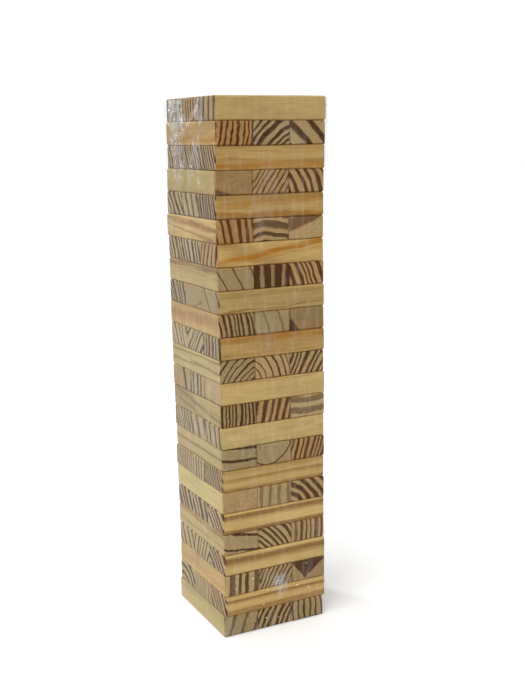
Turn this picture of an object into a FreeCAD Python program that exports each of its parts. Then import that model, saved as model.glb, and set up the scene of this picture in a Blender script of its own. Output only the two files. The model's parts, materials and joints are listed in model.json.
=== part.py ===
import FreeCAD
import Part

import os
import random

# A giant tumbling tower: 24 crossed layers of three wooden blocks, in clear shrink film.
#
# Frame: millimetres, +Z up, origin at the middle of the tower's foot, front towards -Y.
# Layers count from 1 at the foot. Blocks of an odd layer lie along Y, so that their ends face
# the front and the back, and blocks of an even layer lie along X.
# The lowest layers are the foundation, one file of three solids each. Every block above them is
# a file of its own, because each one can be pulled out.

# Driving dimensions
BLOCK_LENGTH = 120.0
BLOCK_HEIGHT = 23.0
BLOCKS_PER_LAYER = 3
LAYERS = 24
FOUNDATION_LAYERS = 7
SIDE_GAP = 0.2  # between neighbours in a layer, which lets a block slide
ARRIS = 1.8  # radius of the sanded edges
STAGGER = 0.4  # the most that one block stands out of its layer's ends
FILM_THICKNESS = 0.1
FILM_CLEARANCE = 0.3  # from the film's inside to the block that stands out furthest
FILM_LIFT = 0.4  # the film's lower edge stops this far above the surface

BLOCK_PITCH = BLOCK_LENGTH / BLOCKS_PER_LAYER
BLOCK_WIDTH = BLOCK_PITCH - SIDE_GAP
TOWER_HEIGHT = LAYERS * BLOCK_HEIGHT

# How each layer was set down, foot first: off the axis along X and Y, and turned, in degrees.
LAYER_NUDGES = [
    (-0.5, 0.5, -0.5),
    (0.5, -0.3, 0.0),
    (0.8, -0.3, 0.0),
    (0.8, -0.3, -0.3),
    (0.7, 0.0, -0.4),
    (0.4, 0.0, -0.2),
    (0.2, 0.0, -0.3),
    (-0.4, 0.3, -0.3),
    (0.6, 0.0, -0.4),
    (0.0, 0.0, -0.2),
    (0.0, -0.2, 0.2),
    (0.0, 0.0, 0.4),
    (-0.5, 0.2, 0.3),
    (-0.5, 0.0, 0.4),
    (-0.6, 0.2, 0.5),
    (-0.4, 0.0, 0.4),
    (-0.6, 0.0, 0.5),
    (-0.9, 0.3, 0.3),
    (-1.2, 0.6, 0.9),
    (-0.9, 0.3, 0.0),
    (-0.5, 0.0, 0.1),
    (0.3, -0.4, -0.4),
    (0.3, -0.5, 0.4),
    (1.2, -0.6, -0.5),
]

# The names of a layer's three blocks, in the order of their places across it.
PLACES_ALONG_Y = ("left", "centre", "right")
PLACES_ALONG_X = ("front", "centre", "back")


def runs_along_y(layer):
    return layer % 2 == 1


def places(layer):
    return PLACES_ALONG_Y if runs_along_y(layer) else PLACES_ALONG_X


def block_node(layer, place):
    return f"layer_{layer:02d}_{places(layer)[place]}_block"


def foundation_node(layer):
    return f"layer_{layer:02d}_foundation_blocks"


def rounded_block():
    """One block along X, centred on its own axis and standing on z = 0, with sanded edges."""
    corner = FreeCAD.Vector(-BLOCK_LENGTH / 2, -BLOCK_WIDTH / 2, 0)
    block = Part.makeBox(BLOCK_LENGTH, BLOCK_WIDTH, BLOCK_HEIGHT, corner)
    return block.makeFillet(ARRIS, block.Edges)


def layer_blocks(layer, pattern, scatter):
    """The layer's three blocks in the tower's frame, from left to right or from front to back."""
    nudge_x, nudge_y, turn = LAYER_NUDGES[layer - 1]
    if runs_along_y(layer):
        turn += 90
    placement = FreeCAD.Placement(
        FreeCAD.Vector(nudge_x, nudge_y, (layer - 1) * BLOCK_HEIGHT),
        FreeCAD.Rotation(FreeCAD.Vector(0, 0, 1), turn),
    )
    made = []
    for place in range(BLOCKS_PER_LAYER):
        across = (place - 1) * BLOCK_PITCH
        if runs_along_y(layer):
            across = -across  # a quarter turn takes +Y to -X
        along = scatter.uniform(-STAGGER, STAGGER)
        block = pattern.copy()
        block.translate(FreeCAD.Vector(along, across, 0))
        block.Placement = placement.multiply(block.Placement)
        made.append(block)
    return made


def shrink_film(blocks):
    """The film as one closed shell, open at the foot, that clears every block."""
    reach = 0.0
    for block in blocks:
        box = block.BoundBox
        reach = max(reach, box.XMax, box.YMax, -box.XMin, -box.YMin)
    inner_half = reach + FILM_CLEARANCE
    outer_half = inner_half + FILM_THICKNESS
    inner_top = TOWER_HEIGHT + FILM_CLEARANCE

    def upright_box(half, top):
        foot = FreeCAD.Vector(-half, -half, FILM_LIFT)
        return Part.makeBox(2 * half, 2 * half, top - FILM_LIFT, foot)

    outer = upright_box(outer_half, inner_top + FILM_THICKNESS)
    return outer.cut(upright_box(inner_half, inner_top))


def build():
    """Every node's name and its shape."""
    scatter = random.Random(24)
    pattern = rounded_block()
    nodes, every_block = {}, []
    for layer in range(1, LAYERS + 1):
        blocks = layer_blocks(layer, pattern, scatter)
        every_block += blocks
        if layer <= FOUNDATION_LAYERS:
            nodes[foundation_node(layer)] = Part.makeCompound(blocks)
        else:
            for place, block in enumerate(blocks):
                nodes[block_node(layer, place)] = block
    nodes["shrink_film"] = shrink_film(every_block)
    return nodes


def main():
    os.makedirs("parts", exist_ok=True)
    for name, shape in build().items():
        shape.exportStep(f"parts/{name}.step")


if __name__ == "__main__":
    main()
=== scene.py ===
import json
import math
from collections import namedtuple

import bpy
import numpy as np
from mathutils import Matrix, Vector, noise

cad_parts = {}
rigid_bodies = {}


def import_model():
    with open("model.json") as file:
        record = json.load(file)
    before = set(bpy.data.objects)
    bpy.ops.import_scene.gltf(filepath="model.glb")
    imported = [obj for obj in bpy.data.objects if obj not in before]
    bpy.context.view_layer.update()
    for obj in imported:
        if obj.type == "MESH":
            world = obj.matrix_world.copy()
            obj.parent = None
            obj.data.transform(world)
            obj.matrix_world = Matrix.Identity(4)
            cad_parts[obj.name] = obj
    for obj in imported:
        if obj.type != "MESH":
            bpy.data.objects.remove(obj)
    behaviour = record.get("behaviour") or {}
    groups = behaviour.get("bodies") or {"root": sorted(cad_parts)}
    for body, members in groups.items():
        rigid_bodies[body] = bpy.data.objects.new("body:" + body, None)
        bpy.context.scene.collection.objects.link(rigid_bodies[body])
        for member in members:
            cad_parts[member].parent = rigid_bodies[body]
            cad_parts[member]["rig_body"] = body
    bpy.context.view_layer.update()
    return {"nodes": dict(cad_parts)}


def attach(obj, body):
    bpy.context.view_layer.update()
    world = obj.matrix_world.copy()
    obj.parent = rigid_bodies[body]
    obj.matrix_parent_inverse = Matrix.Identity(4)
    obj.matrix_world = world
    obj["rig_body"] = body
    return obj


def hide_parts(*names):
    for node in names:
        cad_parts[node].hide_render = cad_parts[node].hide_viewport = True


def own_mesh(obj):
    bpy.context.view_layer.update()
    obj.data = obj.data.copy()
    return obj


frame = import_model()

# A tumbling tower of 72 softwood blocks in clear shrink film. Lengths are metres unless a name
# or a comment says millimetres. Layers count from 1 at the foot, as the CAD nodes' names do.

LAYERS = 24
BLOCKS_PER_LAYER = 3
MM = 0.001


def srgb(red, green, blue):
    """An 8-bit screen colour as a linear one, with an alpha of 1."""
    shares = [value / 255 for value in (red, green, blue)]
    linear = [s / 12.92 if s <= 0.04045 else ((s + 0.055) / 1.055) ** 2.4 for s in shares]
    return (*linear, 1.0)


# ---------------------------------------------------------------------------------------------
# Where the blocks are, read from the CAD nodes

SPLIT_MARGIN = 0.1 * MM  # less than the gap between neighbours

# A block's own axes are along (its length), across (to the right, as its end is seen from the
# front or from the left) and up. Low and high are its corners measured along them.
Block = namedtuple("Block", "name node body layer place along across low high")


def ends_face_front(layer):
    return layer % 2 == 1


def layer_nodes(layer):
    """The layer's CAD nodes, in order from left to right as their ends are seen."""
    prefix = f"layer_{layer:02d}_"
    names = [name for name in frame["nodes"] if name.startswith(prefix)]
    order = ("left", "centre", "right") if ends_face_front(layer) else ("back", "centre", "front")
    if len(names) < BLOCKS_PER_LAYER:
        return names * BLOCKS_PER_LAYER, order
    return [f"{prefix}{place}_block" for place in order], order


def layer_turn(node):
    """How far a layer is turned about Z, from the largest upright face in one of its nodes."""
    upright = [face for face in frame["nodes"][node].data.polygons if abs(face.normal.z) < 0.1]
    normal = max(upright, key=lambda face: face.area).normal
    quarter = math.pi / 2
    angle = math.atan2(normal.y, normal.x)
    return angle - quarter * round(angle / quarter)


def corners_of(node):
    mesh = frame["nodes"][node].data
    return np.array([vertex.co for vertex in mesh.vertices])


def read_layer(layer):
    """The layer's three blocks."""
    nodes, order = layer_nodes(layer)
    turn = layer_turn(nodes[0])
    x_axis = np.array((math.cos(turn), math.sin(turn), 0.0))
    y_axis = np.array((-math.sin(turn), math.cos(turn), 0.0))
    along, across = (y_axis, x_axis) if ends_face_front(layer) else (x_axis, -y_axis)
    found = []
    for place, (node, place_name) in enumerate(zip(nodes, order)):
        points = corners_of(node)
        sideways = points @ across
        if nodes[0] == nodes[1]:
            # three blocks in one node, so only the points in this block's third are its own
            third = (sideways.max() - sideways.min()) / BLOCKS_PER_LAYER
            start = sideways.min() + place * third
            low, high = start - SPLIT_MARGIN, start + third + SPLIT_MARGIN
            points = points[(sideways >= low) & (sideways <= high)]
        own = np.stack([points @ along, points @ across, points[:, 2]], axis=1)
        body = frame["nodes"][node]["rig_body"]
        name = f"wood_{layer:02d}_{place_name}"
        found.append(Block(name, node, body, layer, place, along, across, own.min(0), own.max(0)))
    return found


TOWER = {layer: read_layer(layer) for layer in range(1, LAYERS + 1)}
LAYER_HEIGHT = TOWER[1][0].high[2] - TOWER[1][0].low[2]

# ---------------------------------------------------------------------------------------------
# Node trees


class Shader:
    """A material's node tree, with short calls that add nodes and return their outputs."""

    def __init__(self, name):
        self.material = bpy.data.materials.new(name)
        self.material.use_nodes = True
        self.tree = self.material.node_tree
        self.tree.nodes.clear()

    def add(self, kind, inputs=(), **settings):
        made = self.tree.nodes.new(kind)
        for key, value in settings.items():
            setattr(made, key, value)
        for key, value in dict(inputs).items():
            if isinstance(value, bpy.types.NodeSocket):
                self.tree.links.new(value, made.inputs[key])
            else:
                made.inputs[key].default_value = value
        return made

    def math(self, operation, *values, clamp=False):
        made = self.add("ShaderNodeMath", enumerate(values), operation=operation, use_clamp=clamp)
        return made.outputs[0]

    def total(self, first, *others):
        for other in others:
            first = self.math("ADD", first, other)
        return first

    def product(self, first, *others):
        for other in others:
            first = self.math("MULTIPLY", first, other)
        return first

    def vector_math(self, operation, first, second, output="Vector"):
        made = self.add("ShaderNodeVectorMath", {0: first, 1: second}, operation=operation)
        return made.outputs[output]

    def combine(self, *numbers):
        return self.add("ShaderNodeCombineXYZ", enumerate(numbers)).outputs[0]

    def separate(self, vector):
        return tuple(self.add("ShaderNodeSeparateXYZ", {0: vector}).outputs)

    def ramp(self, value, start, end, low=0.0, high=1.0, kind="SMOOTHSTEP"):
        inputs = {"Value": value, 1: start, 2: end, 3: low, 4: high}
        return self.add("ShaderNodeMapRange", inputs, interpolation_type=kind).outputs[0]

    def mix(self, share, first, second, blend="MIX"):
        inputs = {0: share, 6: first, 7: second}
        made = self.add("ShaderNodeMix", inputs, data_type="RGBA", blend_type=blend)
        return made.outputs[2]

    def noise(self, place, scale, detail=2.0, roughness=0.5):
        inputs = {
            "Vector": self.vector_math("MULTIPLY", place, scale), "Scale": 1.0,
            "Detail": detail, "Roughness": roughness,
        }
        return self.add("ShaderNodeTexNoise", inputs).outputs[0]

    def swing(self, place, scale, reach, detail=2.0):
        """Noise about zero, which reaches about reach each way."""
        centred = self.math("SUBTRACT", self.noise(place, scale, detail), 0.5)
        return self.product(centred, self.product(reach, 4.0))

    def chance(self, number):
        inputs = {"W": number}
        return self.add("ShaderNodeTexWhiteNoise", inputs, noise_dimensions="1D").outputs[0]

    def attribute(self, name, output="Fac", kind="GEOMETRY"):
        made = self.add("ShaderNodeAttribute", attribute_name=name, attribute_type=kind)
        return made.outputs[output]

    def finish(self, shader):
        self.add("ShaderNodeOutputMaterial", {"Surface": shader})
        return self.material


# ---------------------------------------------------------------------------------------------
# Wood

# A stain that runs lengthwise: its height above the block's middle and its half width, in
# millimetres, its slope, which is upwards along the block, and its strength.
Streak = namedtuple("Streak", "height slope width share")
NO_STREAK = Streak(0, 0, 1, 0)

# The dark wedge that a branch leaves: its lowest point, in millimetres across and up from the
# middle of the block's section, and how steeply its left and right sides rise from there.
Wedge = namedtuple("Wedge", "across up left right")
NO_WEDGE = Wedge(0, 100, 1, 1)  # far above the block

# One block's wood. The growth rings are circles about the log's pith, which lies at `away`
# millimetres from the middle of the block's section, in the direction `toward`, in degrees from
# the right, as the end is seen. `gap` is the ring width in millimetres and `late` the dark
# share of it. `shift` moves the rings by a share of a gap. `deep` is how dark the late wood is,
# `warm` runs from grey to red-brown on the ends, `tone` multiplies all the colours, `wave` is how
# wavy the rings are, and `rise` is the slope of the pith along the block, across and upwards.
# On the long faces, `cloud` is how strong the broad stains are, `side` runs from pale yellow to
# orange, and `streaks` are at most two stains. `wedge` is a dark wedge on the ends.
Wood = namedtuple(
    "Wood",
    "toward away gap late shift deep warm tone wave rise cloud side streaks wedge",
    defaults=(0.3, 0.8, 0.5, 1.0, 1.0, (0.0, 0.0), 0.3, 0.3, (), NO_WEDGE),
)

# Each layer's blocks from left to right as their ends are seen, foot first.
WOOD = {
    1: (
        Wood(-20, 180, 13, 0.25, shift=0.1, deep=0.6, warm=0.3, tone=0.82, side=0.1),
        Wood(-25, 120, 6.4, 0.45, deep=0.9, warm=0.4),
        Wood(2, 250, 7.0, 0.28, deep=0.85, warm=0.4, tone=0.86),
    ),
    2: (
        Wood(240, 22, 9.3, 0.40, deep=0.9, warm=0.2),
        Wood(3, 200, 3.7, 0.35, deep=0.6, warm=0.2),
        Wood(213, 160, 5.4, 0.45, deep=1.0, warm=0.4, tone=1.05, wave=0.2, side=0.4),
    ),
    3: (
        Wood(
            -5, 220, 9.0, 0.48, deep=0.75, warm=0.3, side=0.4,
            streaks=(Streak(-2, 0.02, 4, 0.35),),
        ),
        Wood(-30, 160, 4.6, 0.36, deep=0.75, warm=0.3, tone=0.85),
        Wood(98, 60, 60, 0.05, deep=0.3, warm=0.6, tone=0.84, wedge=Wedge(-5, -9, 1.3, 0.8)),
    ),
    4: (
        Wood(203, 90, 10.8, 0.28, deep=0.9, warm=0.2),
        Wood(-20, 200, 6.8, 0.30, deep=0.95, warm=0.2),
        Wood(225, 90, 7.2, 0.42, deep=1.0, warm=0.3, wave=0.2, side=0.25),
    ),
    5: (
        Wood(
            80, 160, 17, 0.14, shift=0.45, deep=0.9, warm=0.3, tone=0.86, side=0.3,
            streaks=(Streak(8.5, 0, 3, 0.85), Streak(3, 0, 1, 0.4)),
        ),
        Wood(223, 70, 5.6, 0.44, deep=0.85, warm=0.4, tone=1.04),
        Wood(0, 230, 6.4, 0.42, deep=0.7, warm=0.5),
    ),
    6: (
        Wood(208, 200, 9.5, 0.45, deep=1.0, warm=0.2, tone=0.97),
        Wood(207, 220, 9.5, 0.45, deep=1.0, warm=0.2),
        Wood(226, 180, 7.6, 0.45, deep=1.0, warm=0.4, tone=1.05, wave=0.2, side=0.3),
    ),
    7: (
        Wood(60, 200, 60, 0.05, shift=0.3, deep=0.3, warm=0.5, tone=0.94, side=0.05),
        Wood(0, 300, 11, 0.30, deep=0.45, warm=0.3, tone=0.9),
        Wood(222, 55, 8.4, 0.45, deep=0.9, warm=0.5),
    ),
    8: (
        Wood(186, 240, 4.5, 0.42, deep=0.7, warm=0.1),
        Wood(182, 240, 7.1, 0.35, deep=0.7, warm=0.1),
        Wood(205, 240, 4.2, 0.45, deep=0.95, warm=0.3, tone=0.92, wave=0.2, side=0.35),
    ),
    9: (
        Wood(
            88, 240, 12.5, 0.20, shift=0.72, deep=0.95, warm=0.3, tone=0.77, side=0.2,
            streaks=(Streak(1.5, 0, 1.2, 0.7),),
        ),
        Wood(117, 18, 38, 0.05, shift=0.73, deep=0.9, warm=0.3, tone=0.81),
        Wood(-13, 200, 5.6, 0.42, deep=0.85, warm=0.8, tone=0.95),
    ),
    10: (
        Wood(196, 240, 5.0, 0.40, deep=0.75, warm=0.1, tone=0.90),
        Wood(200, 160, 16, 0.30, shift=0.6, deep=0.65, warm=0.1, tone=0.93),
        Wood(193, 240, 9.9, 0.26, deep=1.0, warm=0.3, tone=0.90, side=0.2),
    ),
    11: (
        Wood(
            0, 300, 4.3, 0.42, deep=1.0, warm=0.5, tone=0.75, side=0.25,
            streaks=(Streak(2, 0.15, 3, 0.8), Streak(-7, 0.15, 2, 0.7)),
        ),
        Wood(-12, 240, 8.0, 0.42, deep=0.85, warm=0.7),
        Wood(92, 120, 11.5, 0.48, shift=0.3, deep=0.55, warm=0.2),
    ),
    12: (
        Wood(198, 160, 34, 0.14, shift=0.55, deep=0.85, warm=0.6, tone=0.88),
        Wood(180, 260, 9.0, 0.36, deep=0.75, warm=0.1, tone=0.88),
        Wood(
            95, 120, 60, 0.06, shift=0.5, deep=0.65, warm=0.2, tone=0.93, side=0.25,
            streaks=(Streak(10.5, 0, 1.5, 0.5),),
        ),
    ),
    13: (
        Wood(-45, 48, 5.6, 0.26, deep=0.9, warm=0.4, tone=0.80, side=0.2),
        Wood(205, 46, 7.2, 0.22, deep=0.9, warm=0.5),
        Wood(-27, 170, 6.0, 0.42, deep=0.85, warm=0.5),
    ),
    14: (
        Wood(203, 80, 7.5, 0.25, deep=0.75, warm=0.1, tone=0.93),
        Wood(-38, 220, 6.5, 0.30, deep=0.8, warm=0.1, tone=0.93),
        Wood(
            180, 260, 7.1, 0.42, deep=0.85, warm=0.2, tone=0.83, side=0.5,
            streaks=(Streak(9, 0, 5, 0.7), Streak(-7, 0, 0.8, 0.5)),
        ),
    ),
    15: (
        Wood(
            193, 220, 5.0, 0.44, deep=0.95, warm=0.6, tone=0.84, side=0.6,
            streaks=(Streak(0, 0.03, 6, 0.4),),
        ),
        Wood(200, 200, 16, 0.13, deep=0.45, warm=0.2, tone=0.76),
        Wood(215, 90, 60, 0.22, shift=0.22, deep=1.0, warm=0.7, tone=0.69),
    ),
    16: (
        Wood(203, 220, 6.5, 0.40, deep=0.95, warm=0.1, tone=0.80),
        Wood(-60, 60, 60, 0.06, shift=0.12, deep=0.3, warm=0.2, tone=0.77),
        Wood(
            209, 240, 22, 0.08, shift=0.2, deep=1.0, warm=0.2, tone=0.74, side=0.32,
            streaks=(Streak(-7.5, 0.03, 0.9, 0.8), Streak(7, 0, 3, 0.35)),
        ),
    ),
    17: (
        Wood(
            207, 260, 16, 0.10, shift=0.81, deep=0.75, warm=0.4, tone=0.79, side=0.25,
            streaks=(Streak(9, 0, 4, 0.95), Streak(2, 0.03, 1, 0.5)),
        ),
        Wood(180, 260, 12.4, 0.58, shift=0.1, deep=0.95, warm=0.7, tone=0.70),
        Wood(201, 240, 6.2, 0.42, deep=0.9, warm=0.7),
    ),
    18: (
        Wood(202, 240, 6.8, 0.40, deep=0.85, warm=0.1),
        Wood(198, 240, 7.4, 0.40, deep=0.85, warm=0.1),
        Wood(
            166, 220, 8.5, 0.30, shift=0.3, deep=1.0, warm=0.6, tone=0.95, rise=(0.055, 0.0),
            side=0.45, streaks=(Streak(1, 0.16, 4.2, 1.0), Streak(-4, 0.12, 1.2, 0.5)),
        ),
    ),
    19: (
        Wood(
            189, 240, 8.6, 0.38, deep=1.0, warm=1.0, tone=0.94, side=0.3,
            streaks=(Streak(5, 0.06, 3.5, 0.95), Streak(-4, 0.12, 1.5, 0.85)),
        ),
        Wood(268, 70, 8.5, 0.45, shift=0.2, deep=0.75, warm=0.4, tone=0.92, wave=1.3),
        Wood(110, 150, 60, 0.20, shift=0.03, deep=0.65, warm=0.5),
    ),
    20: (
        Wood(215, 220, 8.1, 0.34, deep=0.95, warm=0.1, tone=0.88),
        Wood(200, 240, 12, 0.32, deep=0.7, warm=0.1, tone=0.87),
        Wood(
            194, 260, 5.1, 0.50, deep=0.85, warm=0.2, tone=0.82, side=0.55,
            streaks=(Streak(4, 0.05, 4, 0.6), Streak(-8, -0.02, 3, 0.8)),
        ),
    ),
    21: (
        Wood(246, 150, 60, 0.09, shift=0.17, deep=0.6, warm=0.7, tone=0.76, side=0.25),
        Wood(-35, 260, 5.0, 0.28, deep=0.95, warm=0.7, tone=0.88),
        Wood(205, 62, 8.2, 0.42, deep=0.85, warm=0.6),
    ),
    22: (
        Wood(205, 240, 5.4, 0.42, deep=0.9, warm=0.1),
        Wood(203, 240, 4.8, 0.42, deep=0.9, warm=0.1),
        Wood(
            200, 260, 5.3, 0.42, deep=0.85, warm=0.2, tone=0.88, side=0.42,
            streaks=(Streak(-8, 0, 5, 0.8), Streak(5, 0.02, 2, 0.3)),
        ),
    ),
    23: (
        Wood(
            173, 260, 5.7, 0.38, deep=1.0, warm=1.0, tone=0.95, wave=1.8, side=0.35,
            streaks=(Streak(-6, 0, 4, 0.8),),
        ),
        Wood(-50, 62, 6.4, 0.42, deep=0.85, warm=0.4, tone=0.88),
        Wood(225, 260, 16, 0.32, shift=0.2, deep=0.85, warm=0.4, tone=0.94),
    ),
    24: (
        Wood(185, 120, 9.9, 0.34, deep=0.75, warm=0.2, wave=1.6),
        Wood(180, 220, 6.8, 0.36, deep=0.85, warm=0.6),
        Wood(178, 260, 11, 0.30, deep=0.75, warm=0.2, tone=0.84, side=0.25),
    ),
}

ARRIS = 1.8 * MM  # radius of the sanded edges
UNEVEN_ARRIS = 0.35  # how much the radius varies, as a share of itself
ARRIS_PATCH = 9 * MM  # over about this length
ARC_STEPS = 3  # faces in half of a rounded edge
MESH_STEPS = (24, 9, 6)  # faces along, across and up a block, between its rounded edges


def stations(half, steps):
    """Where a rounded block's mesh has its lines, from -half to half along one axis."""
    inner = half - ARRIS
    flat = np.linspace(-inner, inner, steps + 1)
    angles = np.linspace(0, math.pi / 4, ARC_STEPS + 1)[1:]
    edge = ARRIS * np.tan(angles)
    return np.concatenate([-inner - edge[::-1], flat, inner + edge])


def box_grid(lines):
    """The points and faces of a box, from its mesh lines along each of its three axes.

    The axes are left-handed, as a block's along, across and up are.
    """
    found, points, faces = {}, [], []

    def index(point):
        key = tuple(round(value, 7) for value in point)
        if key not in found:
            found[key] = len(points)
            points.append(point)
        return found[key]

    for axis in range(3):
        first, second = (axis + 1) % 3, (axis + 2) % 3
        for end in (0, -1):
            for a in zip(lines[first], lines[first][1:]):
                for b in zip(lines[second], lines[second][1:]):
                    ring = []
                    for i, j in ((0, 0), (1, 0), (1, 1), (0, 1)):
                        point = [0.0, 0.0, 0.0]
                        point[axis] = lines[axis][end]
                        point[first] = a[i]
                        point[second] = b[j]
                        ring.append(index(tuple(point)))
                    faces.append(ring[::-1] if end else ring)
    return np.array(points), faces


def sanded(points, half, seed):
    """The box's points drawn in to its rounded edges, and each point's outward direction."""
    start = Vector((seed, 0, 0))
    uneven = np.array([noise.noise(Vector(point) / ARRIS_PATCH + start) for point in points])
    radius = ARRIS * (1 + UNEVEN_ARRIS * uneven)[:, None]
    core = np.clip(points, -(half - radius), half - radius)
    out = points - core
    out /= np.linalg.norm(out, axis=1)[:, None]
    return core + out * radius, out


# How much of the painted shade under a level edge, and of the painted highlight on top of one, a
# point takes, by how far its surface faces down or up
PAINTED_LEVEL_EDGE_LIGHT = ((0.1, 0.5, 0.9, 1.0), (0.0, 0.8, 1.0, 0.0))


def store(mesh, name, values):
    """Keeps a number or a vector for each of the mesh's points, for the node trees to read."""
    values = np.asarray(values, np.float32)
    kind, field = ("FLOAT", "value") if values.ndim == 1 else ("FLOAT_VECTOR", "vector")
    mesh.attributes.new(name, kind, "POINT").data.foreach_set(field, values.ravel())


def block_mesh(block, wood, seed):
    size = block.high - block.low
    half = size / 2
    cube, faces = box_grid([stations(h, s) for h, s in zip(half, MESH_STEPS)])
    own, out = sanded(cube, half, seed)
    middle = (block.low + block.high) / 2
    placed = own + middle
    world = placed[:, :1] * block.along + placed[:, 1:2] * block.across
    world[:, 2] = placed[:, 2]
    mesh = bpy.data.meshes.new(block.name)
    mesh.from_pydata(world.tolist(), [], faces)
    mesh.shade_smooth()

    toward = math.radians(wood.toward)
    log = own / MM
    log[:, 1] -= wood.away * math.cos(toward) + wood.rise[0] * log[:, 0]
    log[:, 2] -= wood.away * math.sin(toward) + wood.rise[1] * log[:, 0]
    radial = log[:, 1:] / np.linalg.norm(log[:, 1:], axis=1)[:, None]
    steepest = np.abs(out).max(axis=1)
    store(mesh, "log_place", log)
    store(mesh, "block_place", own / MM)
    store(mesh, "end_grain", np.abs(out[:, 0]))
    store(mesh, "flat_sawn", np.abs((out[:, 1:] * radial).sum(axis=1)))
    store(mesh, "arris", (1 - steepest) / (1 - 1 / math.sqrt(3)))
    # painted shade on the rounded edges that face down
    store(mesh, "painted_underside_shade", np.interp(-out[:, 2], *PAINTED_LEVEL_EDGE_LIGHT))
    # a painted highlight on the rounded edges that face up
    store(mesh, "painted_top_highlight", np.interp(out[:, 2], *PAINTED_LEVEL_EDGE_LIGHT))
    return mesh


# The wood's colours under the film: each ring's early wood is pale and its late wood is dark
EARLY_END = srgb(152, 118, 70)
EARLY_END_GREY = srgb(165, 144, 105)
LATE_END = srgb(80, 35, 2)
LATE_END_GREY = srgb(48, 28, 9)
EARLY_SIDE = srgb(172, 130, 66)
EARLY_SIDE_PALE = srgb(183, 163, 106)
LATE_SIDE = srgb(110, 71, 27)
STAIN_BROWN = srgb(124, 90, 46)
STAIN_ORANGE = srgb(157, 103, 24)
# painted shade, multiplied into the colour of the rounded edges that face down
UNDERSIDE_PAINTED_SHADE = (0.60, 0.48, 0.34, 1)
# a painted highlight, multiplied into the colour of the rounded edges that face up
TOP_PAINTED_HIGHLIGHT = (1.22, 1.18, 1.02, 1)

# The wood's noises, in cycles per millimetre along the log and across it
BROAD_BENDS = (0.012, 0.045, 0.045)
FINE_BENDS = (0.03, 0.33, 0.33)
BAND_MOTTLE = (0.25, 0.9, 0.9)
STREAK_WANDER = (0.03, 0.12, 0.12)
STREAK_FADE = (0.03, 0.2, 0.2)
WEDGE_WANDER = (0.02, 0.16, 0.16)
CLOUDS = (0.011, 0.035, 0.035)
FIBRES = (0.04, 0.75, 0.75)
CUT_CELLS = (0.6, 0.6, 0.6)
SHADE_PATCHES = (0.02, 0.06, 0.06)

# How far the rings and the stains leave their true lines, in millimetres
BROAD_BEND, FINE_BEND = 1.5, 0.32
STREAK_BEND, WEDGE_BEND = 2.2, 1.4

# Numbers that differ between the long faces, given first, and the ends
BAND_FADE = (0.60, 0.22)  # half the length over which a band darkens, as a share of its width
BAND_STOP = (0.76, 0.955)  # where in its ring a band begins to end
BAND_STRENGTH = (0.85, 1.0)
DARKEST_FLECK = (0.84, 0.62)
LIGHTEST_FLECK = (1.15, 1.34)
WOOD_ROUGHNESS = (0.52, 0.72)

BROADSIDE_STRENGTH = 0.45  # of a band where a long face lies along the rings
WEDGE_STRENGTH = 0.97
CLOUD_STRENGTH = 0.6
EVEN_GAP = (9.0, 12.0)  # rings narrower than the first vary in width, wider than the second don't
UNEVEN_RINGS = 0.32  # how far a ring's edge moves, as a share of a gap
BAND_WIDTHS = (0.95, 1.45)  # of the rings that draw 0 and 1, times the block's own width
BAND_DEPTHS = (1.30, 1.10)  # of the same rings, times the block's own depth
SEED_STEPS = (31.7, 57.3, 83.9)  # how far apart two blocks' noises are read, in millimetres
SEED_JUMP = 7.31  # and their draws, in rings
RING_STEP = 0.45  # how far the noise that moves the rings' edges is read from ring to ring
END_EDGE = (0.15, 0.45)  # how far a surface faces along the block where its end's wood begins
WEDGE_EDGE = (-0.4, 0.6)  # where the dark wedge begins, in millimetres inside its outline
STREAK_EDGE = (0.2, 1.3)  # where a streak begins and ends its fall, in half widths


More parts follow.
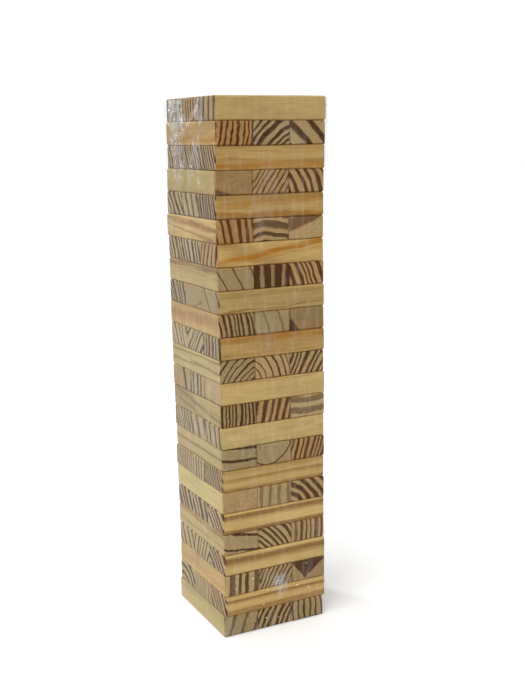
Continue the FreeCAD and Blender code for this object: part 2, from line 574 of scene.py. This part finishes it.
class Pine(Shader):
    """The wood's node tree. Each block's own wood reaches it as object properties."""

    def __init__(self):
        super().__init__("sanded_pine")
        self.log_place = self.attribute("log_place", "Vector")
        self.block_place = self.separate(self.attribute("block_place", "Vector"))
        self.is_end = self.ramp(self.attribute("end_grain"), *END_EDGE)
        self.is_side = self.math("SUBTRACT", 1.0, self.is_end)
        self.seed = self.own("seed")
        self.fickle = self.ramp(self.own("gap"), *EVEN_GAP, 1.0, 0.0)
        apart = self.combine(*(self.product(self.seed, step) for step in SEED_STEPS))
        self.spot = self.vector_math("ADD", self.log_place, apart)

    def own(self, name, output="Fac"):
        """One of the block's own properties."""
        return self.attribute(f"wood_{name}", output, "OBJECT")

    def by_face(self, on_side, on_end, kind="SMOOTHSTEP"):
        return self.ramp(self.is_end, 0.0, 1.0, on_side, on_end, kind)

    def rings_out(self):
        """How many rings a point is from the pith, as the tree's uneven growth bends them."""
        _, across, up = self.separate(self.log_place)
        squares = [self.math("POWER", side, 2.0) for side in (across, up)]
        radius = self.math("SQRT", self.total(*squares))
        wave = self.own("wave")
        broad = self.swing(self.spot, BROAD_BENDS, self.product(wave, BROAD_BEND))
        fine = self.swing(self.spot, FINE_BENDS, self.product(wave, FINE_BEND), 3.0)
        bent = self.total(radius, broad, fine)
        rings = self.math("DIVIDE", self.math("SUBTRACT", bent, self.own("away")), self.own("gap"))
        year = self.combine(self.product(rings, RING_STEP), self.seed)
        uneven = self.swing(year, (1.0, 1.0, 1.0), self.product(self.fickle, UNEVEN_RINGS), 0.0)
        return self.total(rings, uneven, self.own("shift"))

    def band(self):
        """Each ring's late wood, which darkens slowly and ends sharply, and its depth."""
        rings = self.rings_out()
        ring, phase = self.math("FLOOR", rings), self.math("FRACT", rings)
        draw = self.chance(self.total(ring, self.product(self.seed, SEED_JUMP)))
        draw = self.total(self.product(self.math("SUBTRACT", draw, 0.5), self.fickle), 0.5)
        width = self.product(self.own("late"), self.ramp(draw, 0.0, 1.0, *BAND_WIDTHS, "LINEAR"))
        start = self.math("SUBTRACT", 1.0, width)
        fade = self.product(width, self.by_face(*BAND_FADE, "LINEAR"))
        rising = self.ramp(phase, self.math("SUBTRACT", start, fade), self.total(start, fade))
        falling = self.ramp(phase, self.by_face(*BAND_STOP, "LINEAR"), 1.0, 1.0, 0.0)
        depth = self.product(self.own("deep"), self.ramp(draw, 0.0, 1.0, *BAND_DEPTHS, "LINEAR"))
        return self.product(rising, falling), depth

    def wedge(self):
        """How far a point lies in the block's dark wedge, from 0 to 1."""
        across, lowest, _ = self.separate(self.own("wedge_point", "Vector"))
        left, right, _ = self.separate(self.own("wedge_sides", "Vector"))
        _, sideways, up = self.block_place
        wander = self.swing(self.spot, WEDGE_WANDER, WEDGE_BEND, 3.0)
        off = self.total(self.math("SUBTRACT", sideways, across), wander)
        rise = self.math("MAXIMUM", self.product(off, right), self.product(off, left, -1.0))
        inside = self.math("SUBTRACT", self.math("SUBTRACT", up, lowest), rise)
        return self.ramp(inside, *WEDGE_EDGE)

    def streak(self, name):
        """How strongly one of the block's two streaks stains a point."""
        height, slope, width = self.separate(self.own(f"{name}_streak", "Vector"))
        along, _, up = self.block_place
        line = self.total(height, self.product(slope, along))
        wander = self.swing(self.spot, STREAK_WANDER, STREAK_BEND, 3.0)
        off = self.math("ABSOLUTE", self.total(self.math("SUBTRACT", up, line), wander))
        inside = self.ramp(off, *(self.product(width, edge) for edge in STREAK_EDGE), 1.0, 0.0)
        faded = self.ramp(self.noise(self.spot, STREAK_FADE), 0.3, 0.6, 0.55, 1.0)
        return self.product(inside, faded, self.own(f"{name}_share"))

    def darkness(self, band, depth):
        """How much late wood a point shows."""
        along_rings = self.ramp(self.attribute("flat_sawn"), 0.80, 0.99)
        broadside = self.product(along_rings, self.is_side)
        strength = self.product(
            self.by_face(*BAND_STRENGTH), self.ramp(broadside, 0.0, 1.0, 1.0, BROADSIDE_STRENGTH),
        )
        dark = self.product(self.math("MULTIPLY", band, depth, clamp=True), strength)
        wedge = self.product(self.wedge(), self.is_end, WEDGE_STRENGTH)
        mottle = self.ramp(self.noise(self.spot, BAND_MOTTLE, 4.0, 0.75), 0.35, 0.62, 0.84, 1.0)
        return self.product(self.math("MAXIMUM", dark, wedge), mottle)

    def stain(self):
        """How strongly a point of a long face is stained."""
        clouds = self.ramp(self.noise(self.spot, CLOUDS, 3.0), 0.46, 0.74)
        stain = self.product(clouds, self.own("cloud"), CLOUD_STRENGTH)
        for name in ("first", "second"):
            stain = self.math("MAXIMUM", stain, self.streak(name))
        return self.product(stain, self.is_side)

    def colour(self, band, depth):
        warm, side = self.own("warm"), self.own("side")
        early_end = self.mix(warm, EARLY_END_GREY, EARLY_END)
        early_side = self.mix(side, EARLY_SIDE_PALE, EARLY_SIDE)
        late_end = self.mix(warm, LATE_END_GREY, LATE_END)
        early = self.mix(self.is_end, early_side, early_end)
        late = self.mix(self.is_end, LATE_SIDE, late_end)
        wood = self.mix(self.darkness(band, depth), early, late)
        stained = self.mix(self.ramp(side, 0.2, 0.45), STAIN_BROWN, STAIN_ORANGE)
        return self.mix(self.stain(), wood, stained)

    def fleck(self):
        """The fibres along the length, and the cut cells on the ends."""
        fibres = self.noise(self.spot, FIBRES, 3.0, 0.65)
        cells = self.noise(self.spot, CUT_CELLS, 4.0, 0.8)
        made = self.add("ShaderNodeMix", {0: self.is_end, 2: fibres, 3: cells}, data_type="FLOAT")
        return made.outputs[0]

    def shade(self, fleck):
        """What the wood's colour is multiplied by."""
        darkest, lightest = self.by_face(*DARKEST_FLECK), self.by_face(*LIGHTEST_FLECK)
        light = self.ramp(fleck, 0.3, 0.7, darkest, lightest, "LINEAR")
        patch = self.ramp(self.noise(self.spot, SHADE_PATCHES), 0.3, 0.7, 0.94, 1.06, "LINEAR")
        # a painted highlight: every rounded edge is made a little lighter
        painted_edge_highlight = self.ramp(self.attribute("arris"), 0.0, 0.8, 1.0, 1.06, "LINEAR")
        return self.product(light, patch, painted_edge_highlight, self.own("tone"))


def pine_material():
    s = Pine()
    band, depth = s.band()
    fleck = s.fleck()
    shade = s.shade(fleck)
    colour = s.mix(1.0, s.colour(band, depth), s.combine(shade, shade, shade), "MULTIPLY")
    # painted shade: the rounded edges that face down are darkened
    colour = s.mix(s.attribute("painted_underside_shade"), colour, UNDERSIDE_PAINTED_SHADE, "MULTIPLY")
    # painted highlight: the rounded edges that face up are lightened
    colour = s.mix(s.attribute("painted_top_highlight"), colour, TOP_PAINTED_HIGHLIGHT, "MULTIPLY")
    plain = s.by_face(*WOOD_ROUGHNESS, "LINEAR")
    rough = s.total(plain, s.ramp(fleck, 0.3, 0.7, -0.06, 0.06, "LINEAR"))
    height = s.total(s.product(fleck, 0.6), s.product(band, 0.25))
    bump = s.add("ShaderNodeBump", {"Height": height, "Strength": 0.5, "Distance": 0.25 * MM})
    inputs = {
        "Base Color": colour, "Roughness": rough, "Normal": bump.outputs[0],
        "Specular IOR Level": 0.1,
    }
    return s.finish(s.add("ShaderNodeBsdfPrincipled", inputs).outputs[0])


def make_block(block, material):
    wood = WOOD[block.layer][block.place]
    seed = block.layer * BLOCKS_PER_LAYER + block.place
    piece = bpy.data.objects.new(block.name, block_mesh(block, wood, seed))
    bpy.context.scene.collection.objects.link(piece)
    piece.data.materials.append(material)
    for name in ("away", "gap", "late", "shift", "deep", "warm", "tone", "wave", "cloud", "side"):
        piece[f"wood_{name}"] = float(getattr(wood, name))
    for name, mark in zip(("first", "second"), wood.streaks + (NO_STREAK, NO_STREAK)):
        piece[f"wood_{name}_streak"] = [float(value) for value in mark[:3]]
        piece[f"wood_{name}_share"] = float(mark.share)
    piece["wood_wedge_point"] = [float(wood.wedge.across), float(wood.wedge.up), 0.0]
    piece["wood_wedge_sides"] = [float(wood.wedge.left), float(wood.wedge.right), 0.0]
    piece["wood_seed"] = float(seed)
    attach(piece, block.body)
    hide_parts(block.node)


# ---------------------------------------------------------------------------------------------
# Film

# The film is one tube with a lid, divided along the outlines of the blocks that can be drawn.
# The patch over each such block's two ends is a piece of its own.
FilmFace = namedtuple("FilmFace", "out right")
FACES = {
    "front": FilmFace(np.array((0.0, -1.0)), np.array((1.0, 0.0))),
    "right": FilmFace(np.array((1.0, 0.0)), np.array((0.0, 1.0))),
    "back": FilmFace(np.array((0.0, 1.0)), np.array((-1.0, 0.0))),
    "left": FilmFace(np.array((-1.0, 0.0)), np.array((0.0, -1.0))),
}
FACE_ORDER = ("front", "right", "back", "left")
FILM_GAP = 0.35 * MM  # from the film to the blocks that stand out furthest
FILM_SLIT = 0.15 * MM  # from a block's top or underside to the edge of the film's patch over it
FILM_CORNER = 2.0 * MM
FILM_FOOT = 0.4 * MM
COLUMNS = 22  # of the film's mesh, over each block's width
ROWS = 13  # over each layer
LID_RINGS = 14
LID_MIDDLE = 0.03  # how wide the lid's flat middle is, as a share of the lid
LID_GATHER = 0.5 * MM  # how high its gathers stand


def ends_face(layer, face):
    return ends_face_front(layer) == (face in ("front", "back"))


def reach_of(layer, face):
    """How far the layer's blocks stand out towards a face."""
    out = FACES[face].out
    reach = []
    for block in TOWER[layer]:
        ways = zip((block.along[:2] @ out, block.across[:2] @ out), block.low, block.high)
        reach.append(sum(max(low * way, high * way) for way, low, high in ways))
    return max(reach)


def outlines(layer, face):
    """Where the film divides over a layer's ends, and its blocks' places from left to right."""
    out, right = FACES[face]
    edges = []
    for block in TOWER[layer]:
        end = block.high[0] if block.along[:2] @ out > 0 else block.low[0]
        span = sorted(
            (end * block.along[:2] + side * block.across[:2]) @ right
            for side in (block.low[1], block.high[1])
        )
        edges.append((span, block.place))
    edges.sort()
    spans = [span for span, _ in edges]
    slack = (spans[1][0] - spans[0][1]) / 2
    lines = [spans[0][0] - slack]
    lines += [(a[1] + b[0]) / 2 for a, b in zip(spans, spans[1:])]
    lines.append(spans[-1][1] + slack)
    return np.array(lines), [place for _, place in edges]


def film_lines(face):
    """Each layer's four dividing lines on a face, carried on over the layers between."""
    own = {n: outlines(n, face)[0] for n in TOWER if ends_face(n, face)}
    lines = dict(own)
    for n in TOWER:
        if n not in own:
            beside = [own[m] for m in (n - 1, n + 1) if m in own]
            lines[n] = sum(beside) / len(beside)
    return lines


def film_reach(face):
    """How far the film stands out at each layer's middle, smoothed as it bridges the layers."""
    own = [reach_of(n, face) for n in TOWER]
    beside = [slice(max(i - 1, 0), i + 2) for i in range(LAYERS)]
    near = [max(own[span]) for span in beside]
    smooth = [sum(near[span]) / len(near[span]) for span in beside]
    return [max(a, b) + FILM_GAP for a, b in zip(own, smooth)]


def smooth_step(share):
    share = min(1.0, max(0.0, share))
    return share * share * (3 - 2 * share)


def within(distance, limit, edge):
    """1 well within the limit, and 0 beyond it, with a soft edge."""
    return smooth_step((limit - distance) / edge)


# Where the film is crushed, from the top down the left and right faces. On the left one it is
# crushed harder near the top, and not beyond a line to the right of the face's middle.
LEFT_CRUSH, LEFT_HARD_CRUSH, LEFT_CRUSH_END = 0.105, 0.04, 0.05
RIGHT_CRUSH = 0.05
FRONT_CRUSH_AT, FRONT_CRUSH_RADIUS = (0.002, 0.048), 0.020
FRONT_SPECKS_AT, FRONT_SPECKS_RADIUS = (0.0, 0.035), 0.055
SEAM_AT, SEAM_HALF_WIDTH = -0.01, 0.02  # the seam down the back


def crumple(face, side, height):
    """How crinkled the film is, from 0 to 1, side metres from a face's middle line."""
    down = LAYERS * LAYER_HEIGHT - height
    if face == "left":
        high = 0.6 * within(down, LEFT_CRUSH, 0.03) + 0.4 * within(down, LEFT_HARD_CRUSH, 0.02)
        return high * within(side, LEFT_CRUSH_END, 0.03)
    if face == "front":
        return 0.6 * within(math.dist((side, height), FRONT_CRUSH_AT), FRONT_CRUSH_RADIUS, 0.012)
    if face == "back":
        return 0.8 * within(abs(side - SEAM_AT), SEAM_HALF_WIDTH, 0.02)
    return 0.7 * within(down, RIGHT_CRUSH, 0.04)


RIDGE_SHARPNESS = 3.2


def fold(x, y, z):
    """Sharp ridges between 0 and 1, as in a crushed sheet."""
    return 1 - min(1.0, abs(noise.noise(Vector((x, y, z)))) * RIDGE_SHARPNESS)


# How strained the film is at a point, how crushed, and how much it is flecked with loose specks
FilmMarks = namedtuple("FilmMarks", "crease crush speck")
CORNER_MARKS = FilmMarks(0.2, 0.1, 0.0)

# How far each kind of fold lifts the film, in millimetres
UPRIGHT_LIFT, LEVEL_LIFT, COARSE_LIFT, SHARP_LIFT = 0.10, 0.05, 0.9, 0.4


def wrinkle(face, side, height):
    """How far the film stands off at a point, in metres, and its marks there."""
    seed = 10.0 * FACE_ORDER.index(face)
    upright = fold(side / 0.0085 + seed, height / 0.11, 3.0) ** 3
    level = fold(side / 0.05 + seed, height / 0.018, 7.0) ** 4
    coarse = fold(side / 0.011 + height / 0.03 + seed, height / 0.015, 1.0) ** 2
    sharp = fold(side / 0.0052 + seed, height / 0.009 + side / 0.02, 5.0) ** 3
    crushed = crumple(face, side, height)
    lift = UPRIGHT_LIFT * upright + LEVEL_LIFT * level
    lift += crushed * (COARSE_LIFT * coarse + SHARP_LIFT * sharp)
    speck = 0.0
    if face == "front":
        x, y = FRONT_SPECKS_AT
        spread = math.hypot(0.7 * (side - x), height - y)
        speck = within(spread, FRONT_SPECKS_RADIUS, 0.02)
    return lift * MM, FilmMarks(0.5 * upright ** 2, crushed, speck)


class Film:
    """The film's points, and its faces sorted by the piece that they belong to."""

    def __init__(self):
        self.points, self.marks, self.quads = [], [], {}
        self.reach = {face: film_reach(face) for face in FACES}
        self.lines = {face: film_lines(face) for face in FACES}
        self.places = {
            face: {n: outlines(n, face)[1] for n in TOWER if ends_face(n, face)} for face in FACES
        }
        rows = [self.ring(n, step) for n in TOWER for step in range(ROWS)]
        rows.append(self.ring(LAYERS, ROWS))
        self.wall(rows)
        self.lid(rows[-1])

    def height(self, layer, face, share):
        """A row's height at a share of the layer's height, bent round the blocks' outlines."""
        slit = FILM_SLIT if ends_face(layer, face) else -FILM_SLIT
        low = (layer - 1) * LAYER_HEIGHT - slit if layer > 1 else FILM_FOOT
        high = layer * LAYER_HEIGHT + (slit if layer < LAYERS else FILM_GAP - FILM_CORNER)
        return low + share * (high - low)

    def stand(self, face, layer, share):
        """How far the film stands out at a share of the layer's height."""
        values = self.reach[face]
        at = layer - 1 + share - 0.5
        below = min(max(math.floor(at), 0), LAYERS - 1)
        above = min(below + 1, LAYERS - 1)
        blend = min(1.0, max(0.0, at - below))
        smooth = values[below] * (1 - blend) + values[above] * blend
        return max(smooth, values[layer - 1] - FILM_GAP / 2)

    def ring(self, layer, step):
        """One row of points round the tower, which starts at the front's left."""
        share = step / ROWS
        indices = []
        stands = {face: self.stand(face, layer, share) for face in FACES}
        for turn, face in enumerate(FACE_ORDER):
            out, right = FACES[face]
            before, after = FACE_ORDER[turn - 1], FACE_ORDER[(turn + 1) % len(FACE_ORDER)]
            z = self.height(layer, face, share)
            lines = self.lines[face][layer]
            spans = [np.linspace(*ends, COLUMNS, endpoint=False) for ends in zip(lines, lines[1:])]
            for side in np.concatenate(spans + [lines[-1:]]):
                depth = stands[face]
                # where the film begins to turn the corners to its right and left
                for limit in (stands[after] - side, stands[before] + side):
                    limit -= FILM_CORNER
                    if limit < 0:
                        bend = max(0.0, FILM_CORNER ** 2 - limit ** 2)
                        depth = stands[face] - FILM_CORNER + math.sqrt(bend)
                off, marks = wrinkle(face, side, z)
                spot = out * (depth + off) + right * side
                indices.append(self.point((*spot, z), marks))
            corner = FILM_CORNER * (1 - math.sqrt(0.5))
            spot = out * (stands[face] - corner) + right * (stands[after] - corner)
            indices.append(self.point((*spot, z), CORNER_MARKS))
        return indices

    def point(self, place, marks):
        self.points.append(place)
        self.marks.append(marks)
        return len(self.points) - 1

    def wall(self, rows):
        per_face = BLOCKS_PER_LAYER * COLUMNS + 2
        for count, (low, high) in enumerate(zip(rows, rows[1:])):
            layer = count // ROWS + 1
            for i in range(len(low)):
                face = FACE_ORDER[i // per_face]
                column = i % per_face
                after = (i + 1) % len(low)
                owner = None
                if ends_face(layer, face) and column < BLOCKS_PER_LAYER * COLUMNS:
                    block = TOWER[layer][self.places[face][layer][column // COLUMNS]]
                    if block.node.endswith("_block"):
                        owner = block.name
                quad = (low[i], low[after], high[after], high[i])
                self.quads.setdefault(owner, []).append(quad)

    def lid(self, rim):
        """The sheet over the top, gathered from the rim to a small flat middle."""
        edge = np.array([self.points[i] for i in rim])
        middle = edge.mean(axis=0)
        below = rim
        for count in range(1, LID_RINGS + 1):
            share = 1 - (count / LID_RINGS) ** 0.9 * (1 - LID_MIDDLE)
            rise = FILM_CORNER * min(1.0, math.sqrt(count / 2))
            ring = []
            for number, corner in enumerate(edge):
                place = middle + (corner - middle) * share
                gather = fold(number * 0.31, share * 1.5, 9.0) ** 2
                place[2] = corner[2] + rise + LID_GATHER * gather * (1 - share ** 6)
                ring.append(self.point(tuple(place), FilmMarks(0.5 * gather, 0.35, 0.0)))
            for i in range(len(ring)):
                after = (i + 1) % len(ring)
                self.quads[None].append((below[i], below[after], ring[after], ring[i]))
            below = ring
        self.quads[None].append(tuple(below))


def film_piece(film, name, owner, material):
    quads = film.quads[owner]
    used = sorted({i for quad in quads for i in quad})
    number = {old: new for new, old in enumerate(used)}
    mesh = bpy.data.meshes.new(name)
    faces = [[number[i] for i in quad] for quad in quads]
    mesh.from_pydata([film.points[i] for i in used], [], faces)
    mesh.shade_smooth()
    for mark in FilmMarks._fields:
        store(mesh, mark, [getattr(film.marks[i], mark) for i in used])
    mesh.materials.append(material)
    piece = bpy.data.objects.new(name, mesh)
    bpy.context.scene.collection.objects.link(piece)
    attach(piece, "film")
    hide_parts("shrink_film")
    return piece


# The film's noises, in cells per metre on the three axes
CREASE_DRIFT = 55.0
DRIFT_REACH = 0.026  # m
LARGE_FACETS = (110.0, 110.0, 62.0)
SMALL_FACETS = (300.0, 300.0, 180.0)
FOLD_BREAKS = (160.0, 160.0, 120.0)
CRUSH_PATCHES = (45.0, 45.0, 30.0)
DULL_BANDS = (60.0, 60.0, 9.0)
SPECK_CELLS = 110.0

# How much of the light each thing in the film throws back
GLANCING_GLOSS, RIM_GLOSS = 0.12, 0.3
SMALL_FOLD_SHARE = 0.4
MILKY_SHARE = 0.42
STRAIN_SHARE = 0.13


def facets(s, place, scale):
    """The height of a crushed sheet's flat facets, in cells, and how near a point is to a fold."""
    at = s.vector_math("MULTIPLY", place, scale)
    cells = s.add("ShaderNodeTexVoronoi", {"Vector": at, "Scale": 1.0}).outputs
    lean = s.vector_math("SUBTRACT", cells["Color"], (0.5, 0.5, 0.5))
    from_middle = s.vector_math("SUBTRACT", at, cells["Position"])
    height = s.vector_math("DOT_PRODUCT", lean, from_middle, "Value")
    inputs = {"Vector": at, "Scale": 1.0}
    edges = s.add("ShaderNodeTexVoronoi", inputs, feature="DISTANCE_TO_EDGE").outputs
    return height, s.ramp(edges["Distance"], 0.0, 0.05, 1.0, 0.0)


def film_material():
    s = Shader("clear_film")
    crush = s.attribute("crush")
    place = s.add("ShaderNodeTexCoord").outputs["Object"]
    inputs = {"Vector": place, "Scale": CREASE_DRIFT, "Detail": 3.0}
    drift = s.add("ShaderNodeTexNoise", inputs).outputs["Color"]
    bent = s.vector_math("ADD", place, s.vector_math("MULTIPLY", drift, (DRIFT_REACH,) * 3))
    large, large_folds = facets(s, bent, LARGE_FACETS)
    small, small_folds = facets(s, bent, SMALL_FACETS)

    # white creases and a milky look where the film is crushed, and faint upright lines elsewhere
    broken = s.ramp(s.noise(place, FOLD_BREAKS), 0.42, 0.58)
    patchy = s.ramp(s.noise(place, CRUSH_PATCHES), 0.4, 0.62)
    folds = s.math("MAXIMUM", s.product(small_folds, SMALL_FOLD_SHARE), large_folds)
    folds = s.product(folds, broken, crush, patchy)
    milky = s.product(crush, crush, patchy, MILKY_SHARE)
    haze = s.total(folds, s.product(s.attribute("crease"), STRAIN_SHARE), milky)

    facing = s.add("ShaderNodeLayerWeight", {"Blend": 0.5}).outputs["Facing"]
    rim = s.product(s.math("POWER", facing, 7.0), RIM_GLOSS)
    gloss = s.total(s.product(s.math("POWER", facing, 1.8), GLANCING_GLOSS), rim)
    inputs = {"Vector": place, "Scale": SPECK_CELLS}
    spots = s.add("ShaderNodeTexVoronoi", inputs).outputs["Distance"]
    specks = s.product(s.ramp(spots, 0.05, 0.11, 1.0, 0.0), s.attribute("speck"))
    share = s.math("MAXIMUM", s.math("ADD", gloss, haze, clamp=True), specks)

    rough = s.ramp(s.noise(place, DULL_BANDS, 3.0), 0.3, 0.7, 0.10, 0.24)
    relief = s.product(s.total(s.product(large, 3.6), small), crush)
    bump = s.add("ShaderNodeBump", {"Height": relief, "Strength": 1.0, "Distance": 1.2 * MM})
    inputs = {
        "Base Color": (1, 1, 1, 1), "Metallic": 1.0, "Roughness": rough, "Alpha": share,
        "Normal": bump.outputs[0],
    }
    return s.finish(s.add("ShaderNodeBsdfPrincipled", inputs).outputs[0])


def make_film():
    material = film_material()
    film = Film()
    film_piece(film, "film", None, material)
    for blocks in TOWER.values():
        for block in blocks:
            if block.name not in film.quads:
                continue
            patch = film_piece(film, f"film_over_{block.name}", block.name, material)
            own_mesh(patch)


# ---------------------------------------------------------------------------------------------
# Stage

CAMERA_AT = Vector((-0.4796, -0.9652, 0.5162))
CAMERA_HEADING, CAMERA_TILT, CAMERA_ROLL = 0.4759, -0.2514, -0.0129  # radians
CAMERA_LENS = 53.15  # mm, on Blender's 36 mm sensor
CAMERA_SHIFT = 0.071  # upwards: the picture's middle is above the way that the lens points


def make_camera():
    data = bpy.data.cameras.new("camera")
    data.lens = CAMERA_LENS
    data.shift_y = CAMERA_SHIFT
    camera = bpy.data.objects.new("camera", data)
    bpy.context.scene.collection.objects.link(camera)
    level = math.cos(CAMERA_TILT)
    forward = Vector((
        math.sin(CAMERA_HEADING) * level, math.cos(CAMERA_HEADING) * level, math.sin(CAMERA_TILT)
    ))
    right = Vector((math.cos(CAMERA_HEADING), -math.sin(CAMERA_HEADING), 0))
    right.rotate(Matrix.Rotation(-CAMERA_ROLL, 3, forward))
    up = right.cross(forward)
    camera.matrix_world = Matrix((right, up, -forward)).transposed().to_4x4()
    camera.location = CAMERA_AT
    bpy.context.scene.camera = camera


FLOOR_RADIUS = 14
FLOOR_COLOUR = (0.98, 0.98, 0.975, 1)


def make_floor():
    bpy.ops.mesh.primitive_circle_add(vertices=96, radius=FLOOR_RADIUS, fill_type="NGON")
    floor = bpy.context.object
    floor.name = "floor"
    s = Shader("pale_floor")
    inputs = {"Base Color": FLOOR_COLOUR, "Roughness": 0.9}
    floor.data.materials.append(s.finish(s.add("ShaderNodeBsdfPrincipled", inputs).outputs[0]))


# An area light's place and aim, its side in metres and its power in watts
Light = namedtuple("Light", "place aim side power")
LIGHTS = {
    "key": Light((-1.3, -1.5, 0.95), (0, 0, 0.28), 0.4, 4),
    # small ones, which the creases of the film catch
    "left_glint": Light((-0.80, 1.55, 1.35), (-0.06, 0, 0.5), 0.25, 11),
    "front_glint": Light((0.95, -1.75, 1.0), (0, -0.06, 0.05), 0.2, 1.2),
}
SKY_STRENGTH = 0.62
OVERHEAD_STRENGTH = 1.7
OVERHEAD_SOFTNESS = math.radians(50)
OVERHEAD_WAY = (0.40, 0.26, -0.87)


def place_light(data, way, place=(0, 0, 0)):
    """Adds a light that shines the way given."""
    light = bpy.data.objects.new(data.name, data)
    bpy.context.scene.collection.objects.link(light)
    light.location = place
    light.rotation_euler = Vector(way).to_track_quat("-Z", "Y").to_euler()


def make_sky():
    """An even pale sky, which the camera sees as white."""
    world = bpy.data.worlds.new("studio")
    bpy.context.scene.world = world
    world.use_nodes = True
    tree = world.node_tree
    seen = tree.nodes["Background"]
    lit = tree.nodes.new("ShaderNodeBackground")
    for background in (seen, lit):
        background.inputs["Color"].default_value = (1, 1, 1, 1)
    lit.inputs["Strength"].default_value = SKY_STRENGTH
    which = tree.nodes.new("ShaderNodeMixShader")
    rays = tree.nodes.new("ShaderNodeLightPath")
    tree.links.new(rays.outputs["Is Camera Ray"], which.inputs[0])
    tree.links.new(lit.outputs[0], which.inputs[1])
    tree.links.new(seen.outputs[0], which.inputs[2])
    tree.links.new(which.outputs[0], tree.nodes["World Output"].inputs["Surface"])


def make_lights():
    sun = bpy.data.lights.new("overhead", "SUN")
    sun.energy = OVERHEAD_STRENGTH
    sun.angle = OVERHEAD_SOFTNESS
    place_light(sun, OVERHEAD_WAY)
    for name, light in LIGHTS.items():
        area = bpy.data.lights.new(name, "AREA")
        area.size = light.side
        area.energy = light.power
        place_light(area, Vector(light.aim) - Vector(light.place), light.place)


pine = pine_material()
for blocks in TOWER.values():
    for block in blocks:
        make_block(block, pine)
make_film()

make_camera()
make_floor()
make_sky()
make_lights()
bpy.context.scene.view_settings.view_transform = "Standard"
